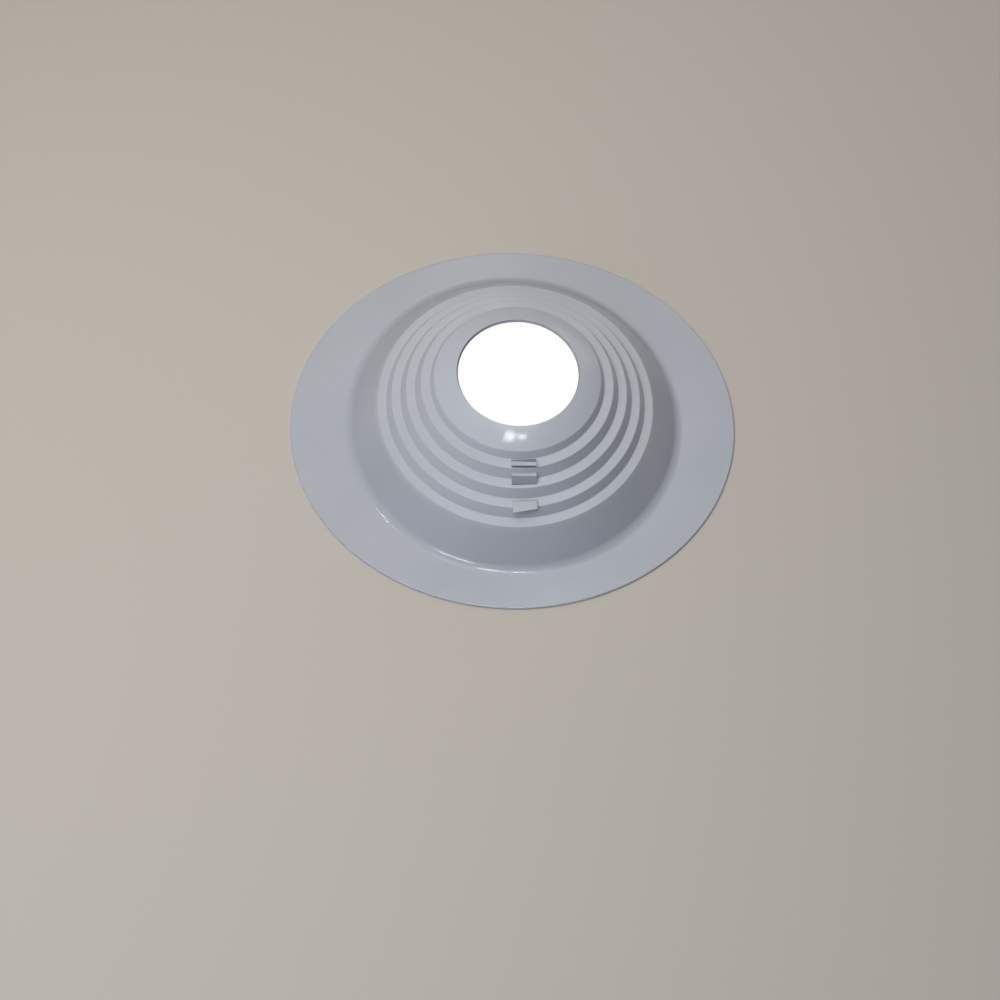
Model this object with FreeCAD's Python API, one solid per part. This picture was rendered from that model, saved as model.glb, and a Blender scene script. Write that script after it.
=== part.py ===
import FreeCAD, Part
import math
import os

# Pipe flashing boot: one soft plastic moulding that seals a pipe where it leaves a roof.
# The boot stands on the underside of its flange at z = 0, and the pipe runs up the Z axis.
# Three small tongues stand in a row on the steps, on the -Y side. Millimetres throughout.

# Flange
sheet = 2.0                  # thickness of the moulding, the same all over
flange_width = 304.0         # along X
flange_depth = 275.0         # along Y, so that the flange is slightly oval
rim_bevel = 0.4              # small bevel round the top of the flange's rim

# Sloping wall between the flange and the lowest step
bend_diameter = 224.0        # where the slope of the wall meets the top of the flange
bend_round = 8.0             # hollow rounding in that bend

# Steps, counted from the lowest and widest
step_count = 4
lowest_step_diameter = 183.0  # outer edge of the lowest tread
lowest_step_height = 25.0    # outer edge of the lowest tread above the flange's underside
step_inset = 9.8             # each tread's edge lies this much nearer to the axis than the one below
step_rise = 7.8              # and this much higher
riser_draft = 28.0           # degrees by which each riser leans from upright, out towards its foot
tread_fall = 0.5             # how far each tread drops outwards, so that water runs off
edge_bevel = 0.5             # how far the edges of the treads and the collar are cut back

# Collar and pipe opening
collar_inset = 8.9           # from the edge of the top tread in to the collar's edge
collar_rise = 5.8            # and from that tread's edge up to it
opening_diameter = 78.0
opening_rise = 6.5           # from the collar's edge up to the rim of the opening

# Tongues. Each is a thin strip that leaves the foot or the front of a riser, bends at its knee and
# ends in a free tip. Its root, knee and tip are given along its left and its right edge, on the upper
# side, as (outwards, upwards) from the inner corner of the tread below it.
tongue_width = 15.4
tongue_thickness = 1.1
tongue_root_share = 0.65     # how much of the wall's thickness the strip is sunk into
tongue_knee_round = 0.5      # on the hollow side of the knee
upper_tongue = {
    "left": [(0.2, 0.1), (1.5, 0.9), (5.1, 1.9)],
    "right": [(0.2, 0.1), (3.4, 2.2), (5.9, 2.6)],
}
middle_tongue = {
    "left": [(-2.1, 4.0), (-0.8, 4.2), (3.6, 0.9)],
    "right": [(-2.1, 4.0), (0.1, 4.0), (3.6, 0.9)],
}
lower_tongue = {
    "left": [(1.2, 0.2), (2.2, 1.5), (9.7, 0.5)],
    "right": [(1.2, 0.2), (2.2, 1.5), (7.9, 1.2)],
}
tongues = [upper_tongue, middle_tongue, lower_tongue]  # on the top tread and the two below it


axis_foot = FreeCAD.Vector(0, 0, 0)
upwards = FreeCAD.Vector(0, 0, 1)


def step_edge(step):
    """Outer edge of one tread as (radius, height)."""
    steps_up = step - 1
    radius = lowest_step_diameter / 2 - steps_up * step_inset
    return radius, lowest_step_height + steps_up * step_rise


def collar_edge():
    """Outer edge of the collar as (radius, height)."""
    radius, height = step_edge(step_count)
    return radius - collar_inset, height + collar_rise


def step_corner(step):
    """Inner corner of one tread, at the foot of the riser above it."""
    top_radius, top_height = step_edge(step + 1) if step < step_count else collar_edge()
    height = step_edge(step)[1] + tread_fall
    return top_radius + (top_height - height) * math.tan(math.radians(riser_draft)), height


def offset_path(points, distance):
    """The same run of straight lines, moved sideways to the right of its direction."""
    directions = [(after - before).normalize() for before, after in zip(points, points[1:])]
    normals = [FreeCAD.Vector(way.z, 0, -way.x) for way in directions]
    moved = [points[0] + normals[0] * distance]
    for point, before, after in zip(points[1:], normals, normals[1:]):
        middle = (before + after).normalize()
        moved.append(point + middle * (distance / middle.dot(before)))
    moved.append(points[-1] + normals[-1] * distance)
    return moved


def corner_arc(before, corner, after, radius):
    """Arc that rounds the corner between its two neighbours."""
    to_before = (before - corner).normalize()
    to_after = (after - corner).normalize()
    half_angle = to_before.getAngle(to_after) / 2
    reach = radius / math.tan(half_angle)
    towards_centre = (to_before + to_after).normalize()
    middle = corner + towards_centre * (radius / math.sin(half_angle) - radius)
    return Part.Arc(corner + to_before * reach, middle, corner + to_after * reach)


def bent_edges(points, radius):
    """Edges through the points, with the last inner corner bent round to the radius."""
    bend = corner_arc(*points[-3:], radius)
    straight = points[:-2] + [bend.StartPoint]
    edges = [Part.makeLine(start, end) for start, end in zip(straight, straight[1:])]
    return edges + [bend.toShape(), Part.makeLine(bend.EndPoint, points[-1])]


def strip_wire(upper_points, upper_round, lower_points, lower_round):
    """Closed outline of a bent strip between its two sides."""
    upper = bent_edges(upper_points, upper_round)
    lower = bent_edges(lower_points, lower_round)
    ends = [Part.makeLine(upper_points[at], lower_points[at]) for at in (0, -1)]
    return Part.Wire(Part.__sortEdges__(upper + lower + ends))


def bevelled(points, corner_places):
    """The same run of points with a bevel in place of each corner at the given places."""
    result = []
    for place, corner in enumerate(points):
        if place in corner_places:
            for neighbour in (points[place - 1], points[place + 1]):
                result.append(corner + (neighbour - corner).normalize() * edge_bevel)
        else:
            result.append(corner)
    return result


def boot_section():
    """Section of the moulding from the collar out to the flange, in the XZ plane."""
    collar_radius, collar_height = collar_edge()
    collar_slope = opening_rise / (collar_radius - opening_diameter / 2)
    inner_end = opening_diameter / 2 - 2 * sheet
    inner_end_height = collar_height + (collar_radius - inner_end) * collar_slope
    corners = [(inner_end, inner_end_height), (collar_radius, collar_height)]
    for step in range(step_count, 0, -1):
        corners += [step_corner(step), step_edge(step)]
    corners += [(bend_diameter / 2, sheet), (max(flange_width, flange_depth) / 2 + sheet, sheet)]
    points = [FreeCAD.Vector(radius, 0, height) for radius, height in corners]
    outer_edges = range(1, len(points) - 2, 2)
    under_points = offset_path(points, sheet)
    return Part.Face(strip_wire(bevelled(points, outer_edges), bend_round, under_points, bend_round + sheet))


def oval_prism(height):
    """Upright prism with the outline of the flange."""
    short_half, long_half = sorted([flange_width / 2, flange_depth / 2])
    outline = Part.Ellipse(axis_foot, long_half, short_half)
    face = Part.Face(Part.Wire(outline.toShape()))
    if flange_depth > flange_width:
        face.rotate(axis_foot, upwards, 90)
    return face.extrude(upwards * height)


def turned_boot():
    """The moulding without its tongues: turned, trimmed to the oval and opened for the pipe."""
    blank = boot_section().revolve(axis_foot, upwards, 360)
    blank_height = blank.BoundBox.ZMax
    trimmed = blank.common(oval_prism(blank_height))
    opened = trimmed.cut(Part.makeCylinder(opening_diameter / 2, blank_height))
    return opened.makeChamfer(rim_bevel, upper_rim(opened))


def upper_rim(boot):
    """Edges along the top of the flange's outer rim."""
    rim_reach = min(flange_width, flange_depth) / 2 - sheet
    on_top = [edge for edge in boot.Edges if abs(edge.CenterOfMass.z - sheet) < sheet / 100]
    return [edge for edge in on_top if math.hypot(edge.Vertexes[0].X, edge.Vertexes[0].Y) > rim_reach]


def tongue_side(corner, along, offset):
    """Outline of one side of a tongue that points along +X, offset along Y."""
    corner_radius, corner_height = corner
    points = [FreeCAD.Vector(corner_radius + out, offset, corner_height + up) for out, up in along]
    inwards = (points[0] - points[1]).normalize()
    points[0] = points[0] + inwards * (sheet * tongue_root_share)
    under_points = offset_path(points, tongue_thickness)
    return strip_wire(points, tongue_knee_round + tongue_thickness, under_points, tongue_knee_round)


def tongue(step, bend):
    """One tongue, a ruled body between its two sides, turned round to the -Y side."""
    corner = step_corner(step)
    left = tongue_side(corner, bend["left"], -tongue_width / 2)
    right = tongue_side(corner, bend["right"], tongue_width / 2)
    body = Part.makeLoft([left, right], True, True)
    body.rotate(axis_foot, upwards, -90)
    return body


def flashing_boot():
    """The whole moulding as one solid."""
    boot = turned_boot()
    for steps_down, bend in enumerate(tongues):
        boot = boot.fuse(tongue(step_count - steps_down, bend))
    return boot.removeSplitter().Solids[0]


os.makedirs("parts", exist_ok=True)
shape = flashing_boot()
shape.exportStep("parts/flashing_boot.step")
print("flashing_boot", "valid" if shape.isValid() else "not valid", round(shape.Volume), "mm3")
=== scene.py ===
import math

import bpy
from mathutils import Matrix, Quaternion, Vector


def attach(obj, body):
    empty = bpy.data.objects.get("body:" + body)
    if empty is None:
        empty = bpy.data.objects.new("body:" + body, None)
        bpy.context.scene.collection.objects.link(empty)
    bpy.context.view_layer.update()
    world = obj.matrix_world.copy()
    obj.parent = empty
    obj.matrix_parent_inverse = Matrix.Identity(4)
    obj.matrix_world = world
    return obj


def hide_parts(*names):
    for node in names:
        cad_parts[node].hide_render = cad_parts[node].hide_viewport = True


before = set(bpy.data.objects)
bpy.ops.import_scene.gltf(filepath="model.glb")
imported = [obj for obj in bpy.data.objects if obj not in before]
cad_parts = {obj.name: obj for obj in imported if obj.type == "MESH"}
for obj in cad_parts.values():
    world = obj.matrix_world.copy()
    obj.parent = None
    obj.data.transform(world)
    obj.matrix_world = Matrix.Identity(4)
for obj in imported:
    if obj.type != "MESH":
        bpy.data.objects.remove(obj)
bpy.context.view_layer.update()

# The boot stands on z = 0, round the Z axis, with its tongues on the -Y side. Lengths on the boot are
# millimetres, and those of the room, the lamps and the camera are metres.
mm = 0.001
slack = 0.02 * mm                    # a point this near to a ring or a line counts as on it
axisFoot = (0, 0, 0)


def startClean():
    bpy.ops.object.select_all(action="DESELECT")


def openMesh(selectMode):
    # goes into edit mode on the active object with nothing selected
    bpy.ops.object.mode_set(mode="EDIT")
    bpy.ops.mesh.select_mode(type="VERT")
    bpy.ops.mesh.select_all(action="DESELECT")
    bpy.ops.mesh.select_mode(type=selectMode)


def closeMesh():
    bpy.ops.object.mode_set(mode="OBJECT")


def pickVertices(test):
    # goes into edit mode with the vertices selected whose place passes the test
    openMesh("VERT")
    closeMesh()
    for vertex in bpy.context.object.data.vertices:
        vertex.select = test(vertex.co)
    bpy.ops.object.mode_set(mode="EDIT")


def pickEdges(test):
    # the same for edges whose two ends both pass the test
    openMesh("EDGE")
    closeMesh()
    mesh = bpy.context.object.data
    for edge in mesh.edges:
        first, second = (mesh.vertices[index].co for index in edge.vertices)
        edge.select = test(first) and test(second)
    bpy.ops.object.mode_set(mode="EDIT")


def roundPicked(reach, segments):
    # rounds the picked edges, from this far to either side of them
    bpy.ops.mesh.bevel(offset=reach * mm, offset_type="OFFSET", segments=segments, profile=0.5,
                       affect="EDGES")


def turnUpwards():
    # turns the active sheet over if it faces down
    if bpy.context.object.data.polygons[0].normal.z < 0:
        openMesh("FACE")
        bpy.ops.mesh.select_all(action="SELECT")
        bpy.ops.mesh.flip_normals()
        closeMesh()


def useModifier(kind, name, **settings):
    # adds a modifier to the active object, sets it and applies it
    bpy.ops.object.modifier_add(type=kind)
    modifier = bpy.context.object.modifiers[-1]
    modifier.name = name
    for setting, value in settings.items():
        setattr(modifier, setting, value)
    bpy.ops.object.modifier_apply(modifier=name)


def cornerReach(before, corner, after, radius):
    # how far an arc of this radius cuts back both sides of the corner
    corner = Vector(corner)
    toBefore = Vector(before) - corner
    toAfter = Vector(after) - corner
    return radius / math.tan(toBefore.angle(toAfter) / 2)


# The boot: flange, sloping wall, four steps, collar and pipe opening.

boot = {
    "sheet": 2.0,                    # thickness of the moulding
    "flangeHalfWidth": 152.0,
    "flangeHalfDepth": 137.5,
    "flatRing": (122.0, 2.0),        # a ring on the flat of the flange, inside its oval rim
    "bend": (112.0, 2.0),            # radius and height where the wall meets the flange
    "bendRound": 9.0,
    "lowestTread": (91.5, 25.0),     # outer edge of the lowest tread
    "treads": 4,
    "treadInset": 9.8,
    "treadRise": 7.8,
    "treadFall": 0.5,
    "riserDraft": 28.0,              # degrees from upright
    "collar": (8.9, 5.8),            # in and up from the top tread's edge to the collar's edge
    "opening": (39.0, 60.7),
    "collarDome": 0.3,               # how far the middle of the collar bulges
    "collarRings": 6,
    "edgeRound": 0.9,
    "footRound": 0.7,
    "rimRounds": (0.9, 0.3),         # the flange's rim, on top and underneath
    "cutRound": 0.12,                # the opening's cut edges stay nearly sharp
    "segments": 288,
    "bendSegments": 8,
    "edgeSegments": 5,
    "rimSegments": 4,
    "cutSegments": 2,
}


def treadEdge(step):
    # outer edge of a tread, counted from the lowest
    radius, height = boot["lowestTread"]
    return radius - (step - 1) * boot["treadInset"], height + (step - 1) * boot["treadRise"]


def collarEdge():
    radius, height = treadEdge(boot["treads"])
    inwards, upwards = boot["collar"]
    return radius - inwards, height + upwards


def collarSlope():
    # angle at which the collar falls from the opening to its edge
    start, end = boot["opening"], collarEdge()
    return math.atan2(start[1] - end[1], end[0] - start[0])


def treadCorner(step):
    # inner corner of a tread, at the foot of the riser above it
    radius, height = treadEdge(step + 1) if step < boot["treads"] else collarEdge()
    foot = treadEdge(step)[1] + boot["treadFall"]
    return radius + (height - foot) * math.tan(math.radians(boot["riserDraft"])), foot


def bootCorners():
    # corners of the upper side as (radius, height), from the opening out to the bend
    corners = [boot["opening"], collarEdge()]
    for step in range(boot["treads"], 0, -1):
        corners += [treadCorner(step), treadEdge(step)]
    return corners + [boot["bend"]]


def domedCollar():
    # rings from the opening out to the collar's edge, on a shallow arc
    start, end = Vector(boot["opening"]), Vector(collarEdge())
    along = end - start
    bulge = Vector((-along.y, along.x)).normalized() * boot["collarDome"]
    shares = [ring / boot["collarRings"] for ring in range(boot["collarRings"] + 1)]
    return [tuple(start + along * share + bulge * 4 * share * (1 - share)) for share in shares]


def underCorner(before, corner, after):
    # the matching corner on the underside of the sheet
    before, corner, after = Vector(before), Vector(corner), Vector(after)
    first = (corner - before).normalized()
    second = (after - corner).normalized()
    firstNormal = Vector((first.y, -first.x))
    secondNormal = Vector((second.y, -second.x))
    middle = (firstNormal + secondNormal).normalized()
    return corner + middle * (boot["sheet"] / middle.dot(firstNormal))


def atRing(ring):
    # test for a vertex that lies on a ring, given as (radius, height)
    radius, height = ring[0] * mm, ring[1] * mm
    return lambda spot: abs(math.hypot(spot.x, spot.y) - radius) < slack and abs(spot.z - height) < slack


def atRim(height):
    # test for a vertex that lies on the oval rim of the flange at a height
    halfWidth, halfDepth = boot["flangeHalfWidth"] * mm, boot["flangeHalfDepth"] * mm
    return lambda spot: (abs(math.hypot(spot.x / halfWidth, spot.y / halfDepth) - 1) < slack / halfDepth
                         and abs(spot.z - height * mm) < slack)


def extrudeRing(start, end):
    # draws the selected ring out from one radius and height to the next
    bpy.ops.mesh.extrude_region_move(TRANSFORM_OT_translate={"value": (0, 0, (end[1] - start[1]) * mm)})
    grow = end[0] / start[0]
    bpy.ops.transform.resize(value=(grow, grow, 1), center_override=axisFoot)


def drawUpperSide():
    # the upper side, ring by ring, and out to the oval rim
    radius, height = boot["opening"]
    startClean()
    bpy.ops.mesh.primitive_circle_add(vertices=boot["segments"], radius=radius * mm,
                                      fill_type="NOTHING", location=(0, 0, height * mm))
    bpy.context.object.name = "flashingBoot"
    bpy.ops.object.transform_apply(location=True, rotation=False, scale=False)
    openMesh("VERT")
    bpy.ops.mesh.select_all(action="SELECT")
    rings = domedCollar() + bootCorners()[2:] + [boot["flatRing"]]
    for start, end in zip(rings, rings[1:]):
        extrudeRing(start, end)
    bpy.ops.mesh.extrude_region_move()
    inner = boot["flatRing"][0]
    bpy.ops.transform.resize(value=(boot["flangeHalfWidth"] / inner, boot["flangeHalfDepth"] / inner, 1),
                             center_override=axisFoot)
    bpy.ops.mesh.select_all(action="SELECT")
    bpy.ops.mesh.normals_make_consistent(inside=False)
    closeMesh()
    turnUpwards()


def straightenBore():
    # the opening is cut straight down, so the lower rim of the sheet moves out to the bore
    radius, height = boot["opening"]
    slope = collarSlope()
    lowerRim = (radius - boot["sheet"] * math.sin(slope), height - boot["sheet"] * math.cos(slope))
    pickVertices(atRing(lowerRim))
    grow = radius / lowerRim[0]
    bpy.ops.transform.resize(value=(grow, grow, 1), center_override=axisFoot)
    drop = (radius - lowerRim[0]) * math.tan(slope)
    bpy.ops.transform.translate(value=(0, 0, -drop * mm))
    closeMesh()


def roundRing(ring, reach, segments):
    pickEdges(atRing(ring))
    roundPicked(reach, segments)
    closeMesh()


def roundCorners():
    # rounds every corner of the section, on the upper side and on the underside
    corners = bootCorners() + [boot["flatRing"]]
    feet = [treadCorner(step) for step in range(1, boot["treads"] + 1)]
    for before, corner, after in zip(corners, corners[1:], corners[2:]):
        if corner == boot["bend"]:
            upperRound, segments = boot["bendRound"], boot["bendSegments"]
            lowerRound = upperRound + boot["sheet"]
        elif corner in feet:
            upperRound, segments = boot["footRound"], boot["edgeSegments"]
            lowerRound = upperRound + boot["sheet"]
        else:
            upperRound, segments = boot["edgeRound"], boot["edgeSegments"]
            lowerRound = boot["footRound"]
        under = underCorner(before, corner, after)
        roundRing(corner, cornerReach(before, corner, after, upperRound), segments)
        roundRing(under, cornerReach(before, corner, after, lowerRound), segments)


def roundCutEdges():
    # rounds both edges of the opening and of the flange's rim
    radius, height = boot["opening"]
    cutFoot = height - boot["sheet"] / math.cos(collarSlope())
    for cutHeight in (height, cutFoot):
        roundRing((radius, cutHeight), boot["cutRound"], boot["cutSegments"])
    for rimHeight, reach in zip((boot["sheet"], 0), boot["rimRounds"]):
        pickEdges(atRim(rimHeight))
        roundPicked(reach, boot["rimSegments"])
        closeMesh()


def makeBoot():
    drawUpperSide()
    useModifier("SOLIDIFY", "wall", thickness=boot["sheet"] * mm, offset=-1, use_even_offset=True)
    straightenBore()
    roundCorners()
    roundCutEdges()
    return bpy.context.object


bootPiece = makeBoot()
print("boot turned:", len(bootPiece.data.vertices), "points")


# Three tongues in a row down the front, on the top tread and the two below it.

tongues = {
    "width": 15.4,
    "thickness": 1.1,
    "sunk": 1.3,                     # the root goes this far into the wall
    "kneeRound": 0.9,
    "kneeSegments": 4,
    "cuts": 3,                       # across each face of the strip, so that it can twist
    "edgeRound": 0.2,
    "edgeSegments": 2,
    "edgeAngle": 50.0,               # degrees: a sharper corner than this is rounded
    # how dark the painted shade is on the cut ends, where the shadow line under a free edge falls, and on
    # the cut sides
    "endShade": 1.0,
    "sideShade": 0.5,
    # root, knee and tip on the upper side, outwards and upwards from the inner corner of the tread below,
    # and how dark the painted shade is in the pocket behind the knee and on the face in front of it
    "upper": {"step": 4, "pocketShade": 0.75, "faceShade": 0.0,
              "left": [(0.2, 0.1), (1.5, 0.9), (5.1, 1.9)],
              "right": [(0.2, 0.1), (3.4, 2.2), (5.9, 2.6)]},
    "middle": {"step": 3, "pocketShade": 0.0, "faceShade": 0.5,
               "left": [(-2.1, 4.0), (-0.8, 4.2), (3.6, 0.9)],
               "right": [(-2.1, 4.0), (0.1, 4.0), (3.6, 0.9)]},
    "lower": {"step": 2, "pocketShade": 0.3, "faceShade": 0.1,
              "left": [(1.2, 0.2), (2.2, 1.5), (9.7, 0.5)],
              "right": [(1.2, 0.2), (2.2, 1.5), (7.9, 1.2)]},
}

sides = ("left", "right")
rootLine, kneeLine, tipLine = range(3)


def tonguePoint(shape, side, line):
    # one end of the root, knee or tip line
    cornerRadius, cornerHeight = treadCorner(shape["step"])
    outwards, upwards = shape[side][line]
    across = -0.5 if side == "left" else 0.5
    return Vector((across * tongues["width"], -(cornerRadius + outwards), cornerHeight + upwards)) * mm


def drawStrip(name, shape):
    # a small flat plate at the root, drawn out to the knee and on to the tip
    root, knee, tip = (tonguePoint(shape, "left", line) for line in (rootLine, kneeLine, tipLine))
    sunk = (knee - root).normalized() * tongues["sunk"] * mm
    middle = root - sunk / 2
    middle.x = 0
    startClean()
    bpy.ops.mesh.primitive_plane_add(size=1, location=middle)
    piece = bpy.context.object
    piece.name = name + "Tongue"
    piece.scale = (tongues["width"] * mm, sunk.length, 1)
    piece.rotation_euler = (math.atan2(-sunk.z, -sunk.y), 0, 0)
    bpy.ops.object.transform_apply(location=True, rotation=True, scale=True)
    pickVertices(lambda spot: (spot - root).yz.length < slack)
    bpy.ops.mesh.extrude_region_move(TRANSFORM_OT_translate={"value": knee - root})
    bpy.ops.mesh.extrude_region_move(TRANSFORM_OT_translate={"value": tip - knee})
    closeMesh()


def twistStrip(shape):
    # the right edge bends and ends a little differently from the left one
    for line in (kneeLine, tipLine):
        untwisted = tonguePoint(shape, "left", line)
        untwisted.x = -untwisted.x
        pickVertices(lambda spot: (spot - untwisted).length < slack)
        bpy.ops.transform.translate(value=tonguePoint(shape, "right", line) - untwisted)
        closeMesh()


def roundKnee(shape):
    # a rounded bend at the knee, then enough cuts for the twist
    ends = [tonguePoint(shape, side, kneeLine) for side in sides]
    pickEdges(lambda spot: min((spot - end).length for end in ends) < slack)
    reach = min(cornerReach(*(tonguePoint(shape, side, line).yz for line in (rootLine, kneeLine, tipLine)),
                            tongues["kneeRound"]) for side in sides)
    roundPicked(reach, tongues["kneeSegments"])
    bpy.ops.mesh.select_all(action="SELECT")
    bpy.ops.mesh.subdivide(number_cuts=tongues["cuts"])
    closeMesh()


def paintedShadeOn(polygon, shape):
    # painted shade: darker on the cut edges, where the shadow line under the free edge falls, in the pocket
    # behind the knee and lightly on the face in front of it
    share = polygon.center.x / (tongues["width"] * mm) + 0.5
    knee, tip = (tonguePoint(shape, "left", line).lerp(tonguePoint(shape, "right", line), share)
                 for line in (kneeLine, tipLine))
    facesAlong = abs(polygon.normal.x) < 0.4
    facesAcross = abs(polygon.normal.x) > 0.7
    facesUp = polygon.normal.z > 0
    flatOnTop = polygon.normal.z > 0.97
    pastRounding = polygon.center.y < tip.y + tongues["edgeRound"] * mm
    if pastRounding and facesAlong and not flatOnTop:
        return tongues["endShade"]
    if facesAcross:
        return tongues["sideShade"]
    if facesUp:
        return shape["pocketShade"] if polygon.center.y > knee.y else shape["faceShade"]
    return 0


def makeTongue(name):
    shape = tongues[name]
    drawStrip(name, shape)
    twistStrip(shape)
    roundKnee(shape)
    turnUpwards()
    useModifier("SOLIDIFY", "strip", thickness=tongues["thickness"] * mm, offset=-1, use_even_offset=True)
    useModifier("BEVEL", "edges", width=tongues["edgeRound"] * mm, segments=tongues["edgeSegments"],
                limit_method="ANGLE", angle_limit=math.radians(tongues["edgeAngle"]))
    piece = bpy.context.object
    # painted shade, kept on each face as a share of the dark colour
    shadeMask = piece.data.attributes.new(name="shadeMask", type="FLOAT", domain="FACE")
    for polygon, paintedShade in zip(piece.data.polygons, shadeMask.data):
        paintedShade.value = paintedShadeOn(polygon, shape)
    return piece


tonguePieces = [makeTongue(name) for name in ("upper", "middle", "lower")]
print("tongues bent:", len(tonguePieces))

# The moulding is one piece, smooth up to this many degrees between faces.

smoothAngle = 40.0

startClean()
for piece in tonguePieces:
    piece.select_set(True)
bootPiece.select_set(True)
bpy.context.view_layer.objects.active = bootPiece
bpy.ops.object.join()
bpy.ops.object.shade_smooth_by_angle(angle=math.radians(smoothAngle))
useModifier("WEIGHTED_NORMAL", "flat faces stay flat", keep_sharp=True)
print("tongues joined to the boot:", len(bootPiece.data.polygons), "faces")


# Soft plastic: pale blue grey, satin, with a fine grain.

plastic = {
    "colour": (0.434, 0.456, 0.515),
    "paler": (0.455, 0.477, 0.535),
    "deeper": (0.414, 0.436, 0.494),
    "driftScale": 14.0,
    # painted light: a lighter colour laid over the plastic by height
    "paintedLightColour": (0.53, 0.555, 0.622),
    # how far the painted light shows at a share of the height: some on the flange, more on the treads, all
    # on the collar, none on the wall, which so looks shaded
    "paintedLightByHeight": [(0.04, 0.25), (0.09, 0.0), (0.36, 0.0), (0.42, 0.65), (0.86, 0.65), (0.89, 1.0)],
    "worn": (0.520, 0.540, 0.590),
    "wornEdges": (0.52, 0.62),       # from this sharp, and fully at this sharp
    "wear": 0.5,
    # the dark colour of the painted shade on the tongues
    "paintedShade": (0.11, 0.12, 0.14),
    "glossIndex": 1.5,
    "roughness": (0.36, 0.52),
    "patchScale": 160.0,
    "underGloss": 0.3,
    "skin": 0.8,                     # the moulded skin is a little glossier than the plastic under it
    "skinIndex": 1.45,
    "skinRoughness": 0.1,
    # noise scale, detail, bump strength and bump distance in metres
    "relief": [(1400.0, 2.0, 0.25, 0.00004), (520.0, 2.0, 0.4, 0.0001), (60.0, 2.0, 0.5, 0.0004)],
}


def addNode(tree, kind, place, **inputs):
    node = tree.nodes.new(kind)
    node.location = place
    for name, value in inputs.items():
        node.inputs[name].default_value = value
    return node


def addRamp(tree, place, stops):
    node = addNode(tree, "ShaderNodeValToRGB", place)
    elements = node.color_ramp.elements
    while len(elements) < len(stops):
        elements.new(0.5)
    for element, (at, colour) in zip(elements, stops):
        element.position = at
        element.color = (*colour, 1)
    return node


def addRange(tree, place, given, wanted):
    node = addNode(tree, "ShaderNodeMapRange", place)
    for name, value in zip(("From Min", "From Max", "To Min", "To Max"), (*given, *wanted)):
        node.inputs[name].default_value = value
    return node


def addMix(tree, place, under, colour, share):
    # lays a colour over what is under it, by a share that comes from another node
    node = addNode(tree, "ShaderNodeMix", place)
    node.data_type = "RGBA"
    node.inputs["B"].default_value = (*colour, 1)
    tree.links.new(under, node.inputs["A"])
    tree.links.new(share, node.inputs["Factor"])
    return node.outputs["Result"]


def addColour(tree, place):
    link = tree.links.new

    # slow drift in the colour of the compound
    drift = addNode(tree, "ShaderNodeTexNoise", (-900, 300), Scale=plastic["driftScale"], Detail=3.0,
                    Roughness=0.55)
    link(place, drift.inputs["Vector"])
    driftColour = addRamp(tree, (-600, 300), [(0.3, plastic["deeper"]), (0.5, plastic["colour"]),
                                              (0.7, plastic["paler"])])
    link(drift.outputs["Fac"], driftColour.inputs["Fac"])

    # painted light and shade: the wall is painted a little darker than the flange and the steps, and the
    # collar the palest, as light falls on them
    height = addNode(tree, "ShaderNodeSeparateXYZ", (-900, 600))
    link(place, height.inputs["Vector"])
    share = addRange(tree, (-750, 600), (0, boot["opening"][1] * mm), (0, 1))
    link(height.outputs["Z"], share.inputs["Value"])
    paintedLightByHeight = addRamp(tree, (-600, 600), [(at, (grey, grey, grey)) for at, grey in plastic["paintedLightByHeight"]])
    link(share.outputs["Result"], paintedLightByHeight.inputs["Fac"])
    colour = addMix(tree, (-300, 400), driftColour.outputs["Color"], plastic["paintedLightColour"],
                    paintedLightByHeight.outputs["Color"])

    # edges that are handled go paler still
    edges = addNode(tree, "ShaderNodeNewGeometry", (-900, 0))
    wear = addRange(tree, (-600, 0), plastic["wornEdges"], (0, plastic["wear"]))
    link(edges.outputs["Pointiness"], wear.inputs["Value"])
    colour = addMix(tree, (-100, 300), colour, plastic["worn"], wear.outputs["Result"])

    # painted shade on the tongues, darker where shadow falls on their cut edges, pockets and faces
    shadeMask = addNode(tree, "ShaderNodeAttribute", (-300, 100))
    shadeMask.attribute_name = "shadeMask"
    return addMix(tree, (100, 200), colour, plastic["paintedShade"], shadeMask.outputs["Fac"])


def addSheen(tree, place):
    # the sheen is patchy
    patches = addNode(tree, "ShaderNodeTexNoise", (-900, -300), Scale=plastic["patchScale"], Detail=4.0,
                      Roughness=0.6)
    tree.links.new(place, patches.inputs["Vector"])
    sheen = addRange(tree, (-600, -300), (0.3, 0.7), plastic["roughness"])
    tree.links.new(patches.outputs["Fac"], sheen.inputs["Value"])
    return sheen.outputs["Result"]


def addRelief(tree, place):
    # fine grain, a pebbly skin and a shallow waviness, one over the other
    normal = None
    for row, (scale, detail, strength, distance) in enumerate(plastic["relief"]):
        across = -600 - 300 * row
        noise = addNode(tree, "ShaderNodeTexNoise", (-900, across), Scale=scale, Detail=detail)
        tree.links.new(place, noise.inputs["Vector"])
        bump = addNode(tree, "ShaderNodeBump", (0, across), Strength=strength, Distance=distance)
        tree.links.new(noise.outputs["Fac"], bump.inputs["Height"])
        if normal:
            tree.links.new(normal, bump.inputs["Normal"])
        normal = bump.outputs["Normal"]
    return normal


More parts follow.
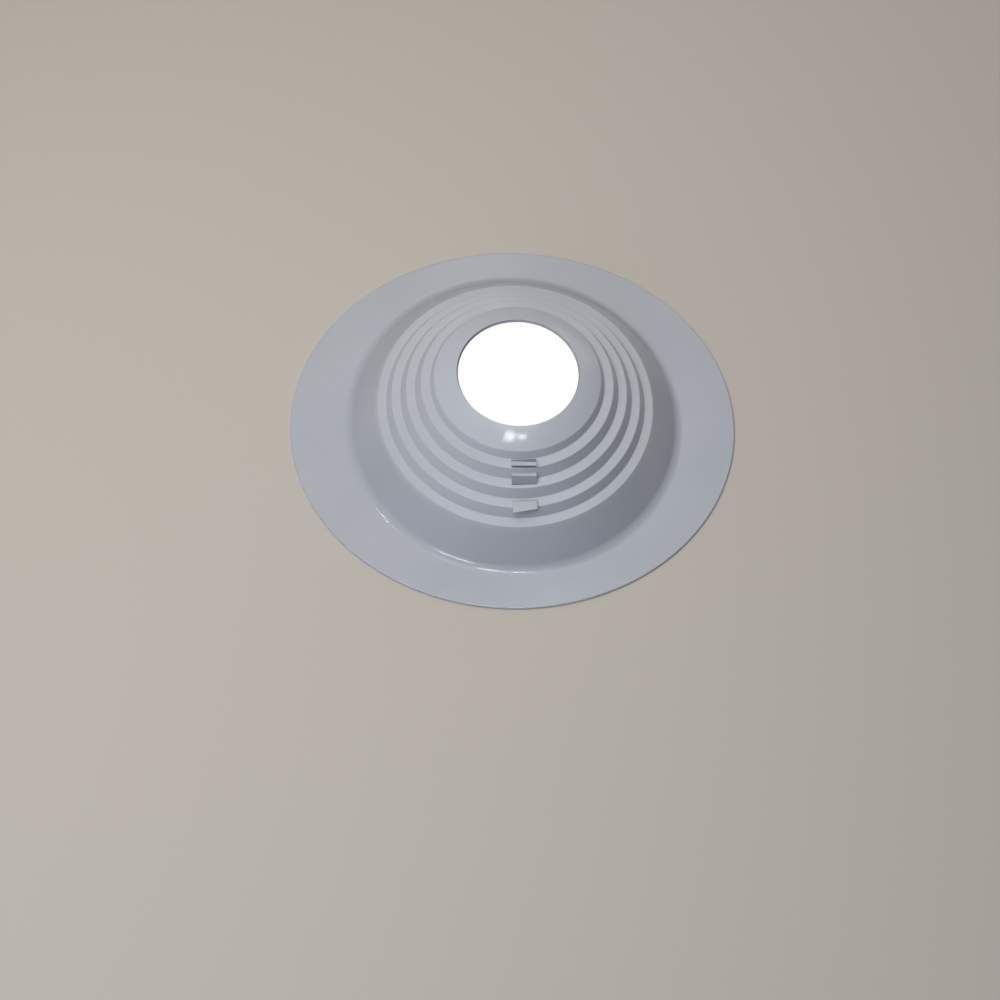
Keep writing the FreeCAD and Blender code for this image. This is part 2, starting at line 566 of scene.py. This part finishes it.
def makePlastic():
    material = bpy.data.materials.new("softPlastic")
    material.use_nodes = True
    tree = material.node_tree
    tree.nodes.clear()
    link = tree.links.new
    output = addNode(tree, "ShaderNodeOutputMaterial", (900, 0))
    shader = addNode(tree, "ShaderNodeBsdfPrincipled", (600, 0), IOR=plastic["glossIndex"])
    shader.inputs["Coat Weight"].default_value = plastic["skin"]
    shader.inputs["Coat Roughness"].default_value = plastic["skinRoughness"]
    shader.inputs["Coat IOR"].default_value = plastic["skinIndex"]
    shader.inputs["Specular IOR Level"].default_value = plastic["underGloss"]
    link(shader.outputs["BSDF"], output.inputs["Surface"])
    place = addNode(tree, "ShaderNodeTexCoord", (-1200, 0)).outputs["Object"]
    link(addColour(tree, place), shader.inputs["Base Color"])
    link(addSheen(tree, place), shader.inputs["Roughness"])
    normal = addRelief(tree, place)
    for socket in ("Normal", "Coat Normal"):
        link(normal, shader.inputs[socket])
    return material


startClean()
bootPiece.data.materials.clear()
bootPiece.data.materials.append(makePlastic())
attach(bootPiece, "root")
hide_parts("flashing_boot")
print("plastic mixed")


# Floor and room, in metres.

studio = {
    "floorColour": (0.58, 0.535, 0.49),
    "floorRoughness": 0.9,
    "floorSize": 6.0,
    "floorDrop": 0.0002,             # the floor lies this far below the flange
    "openingWhite": 0.1,             # the floor is plain white to the eye this far out, under the opening
    "worldColour": (0.97, 0.98, 1.0),
    "worldStrength": 0.05,
}


def makeFloorMaterial():
    material = bpy.data.materials.new("paleFloor")
    material.use_nodes = True
    tree = material.node_tree
    link = tree.links.new
    output = tree.nodes["Material Output"]
    shader = tree.nodes["Principled BSDF"]
    shader.inputs["Base Color"].default_value = (*studio["floorColour"], 1)
    shader.inputs["Roughness"].default_value = studio["floorRoughness"]

    # plain white for camera rays within a circle round the boot's axis
    place = addNode(tree, "ShaderNodeTexCoord", (-900, 300))
    fromAxis = addNode(tree, "ShaderNodeVectorMath", (-600, 300))
    fromAxis.operation = "LENGTH"
    link(place.outputs["Object"], fromAxis.inputs[0])
    inside = addNode(tree, "ShaderNodeMath", (-300, 300))
    inside.operation = "LESS_THAN"
    inside.inputs[1].default_value = studio["openingWhite"]
    link(fromAxis.outputs["Value"], inside.inputs[0])
    rays = addNode(tree, "ShaderNodeLightPath", (-300, 600))
    seenInside = addNode(tree, "ShaderNodeMath", (0, 500))
    seenInside.operation = "MULTIPLY"
    link(inside.outputs["Value"], seenInside.inputs[0])
    link(rays.outputs["Is Camera Ray"], seenInside.inputs[1])
    white = addNode(tree, "ShaderNodeEmission", (0, 200))
    mix = addNode(tree, "ShaderNodeMixShader", (300, 300))
    link(seenInside.outputs["Value"], mix.inputs["Fac"])
    link(shader.outputs["BSDF"], mix.inputs[1])
    link(white.outputs["Emission"], mix.inputs[2])
    link(mix.outputs["Shader"], output.inputs["Surface"])
    return material


startClean()
bpy.ops.mesh.primitive_plane_add(size=studio["floorSize"], location=(0, 0, -studio["floorDrop"]))
floor = bpy.context.object
floor.name = "floor"
floor.data.materials.append(makeFloorMaterial())

world = bpy.data.worlds.new("softRoom")
bpy.context.scene.world = world
world.use_nodes = True
background = world.node_tree.nodes["Background"]
background.inputs["Color"].default_value = (*studio["worldColour"], 1)
background.inputs["Strength"].default_value = studio["worldStrength"]
print("floor and room set")


# Each lamp: degrees round from the front and up from the floor, its distance, width and height, watts,
# colour and what it gives: soft light, a glint in the gloss, or both.

lamps = {
    "mainLamp": (-84, 63, 1.5, 0.5, 0.5, 9.4, (1.0, 0.95, 0.82), "soft"),
    "leftLamp": (-34, 38, 1.5, 1.2, 1.2, 6.5, (0.67, 0.79, 1.0), "soft"),
    "topLamp": (0, 89, 1.5, 0.8, 0.8, 3.7, (0.93, 0.95, 1.0), "both"),
    "backLamp": (-165, 58, 1.5, 0.8, 0.8, 1.3, (1.0, 0.88, 0.66), "both"),
    "backRightLamp": (142, 30, 1.5, 0.8, 0.8, 1.65, (0.95, 0.96, 1.0), "both"),
    "highRightLamp": (160, 60, 1.5, 0.8, 0.8, 1.65, (0.98, 0.98, 1.0), "both"),
    "frontLeftWindow": (-34, 44, 1.3, 0.36, 0.10, 2.4, (0.94, 0.97, 1.0), "glint"),
    "sideGlint": (-106, 66, 1.3, 0.09, 0.09, 0.8, (0.94, 0.97, 1.0), "glint"),
    "collarGlint": (-14, 68.3, 1.3, 0.13, 0.15, 1.3, (0.94, 0.97, 1.0), "glint"),
    "collarGleam": (9, 68, 1.3, 0.14, 0.10, 0.9, (0.94, 0.97, 1.0), "glint"),
}


def directionFrom(around, above):
    turn, lift = math.radians(around), math.radians(above)
    return Vector((math.sin(turn) * math.cos(lift), -math.cos(turn) * math.cos(lift), math.sin(lift)))


for name, (around, above, distance, width, height, watts, colour, gives) in lamps.items():
    direction = directionFrom(around, above)
    bpy.ops.object.light_add(type="AREA", location=direction * distance)
    lamp = bpy.context.object
    lamp.name = name
    lamp.rotation_euler = direction.to_track_quat("Z", "Y").to_euler()
    lamp.data.shape = "RECTANGLE"
    lamp.data.size = width
    lamp.data.size_y = height
    lamp.data.energy = watts
    lamp.data.color = colour
    lamp.visible_glossy = gives != "soft"
    lamp.visible_diffuse = gives != "glint"
print("lamps hung:", len(lamps))


# The camera looks down at the front from a little to the left. Its lens is in millimetres.

camera = {
    "aim": (-0.0132, -0.0614, 0.0),
    "around": -7.77,
    "above": 65.94,
    "roll": 4.83,
    "distance": 0.6617,
    "lens": 36.0,
    "sensor": 36.0,
}

back = directionFrom(camera["around"], camera["above"])
bpy.ops.object.camera_add(location=Vector(camera["aim"]) + back * camera["distance"])
eye = bpy.context.object
eye.rotation_mode = "QUATERNION"
eye.rotation_quaternion = back.to_track_quat("Z", "Y") @ Quaternion((0, 0, 1), math.radians(camera["roll"]))
eye.data.lens = camera["lens"]
eye.data.sensor_width = camera["sensor"]
bpy.context.scene.camera = eye
bpy.context.scene.view_settings.view_transform = "Standard"
print("camera set")
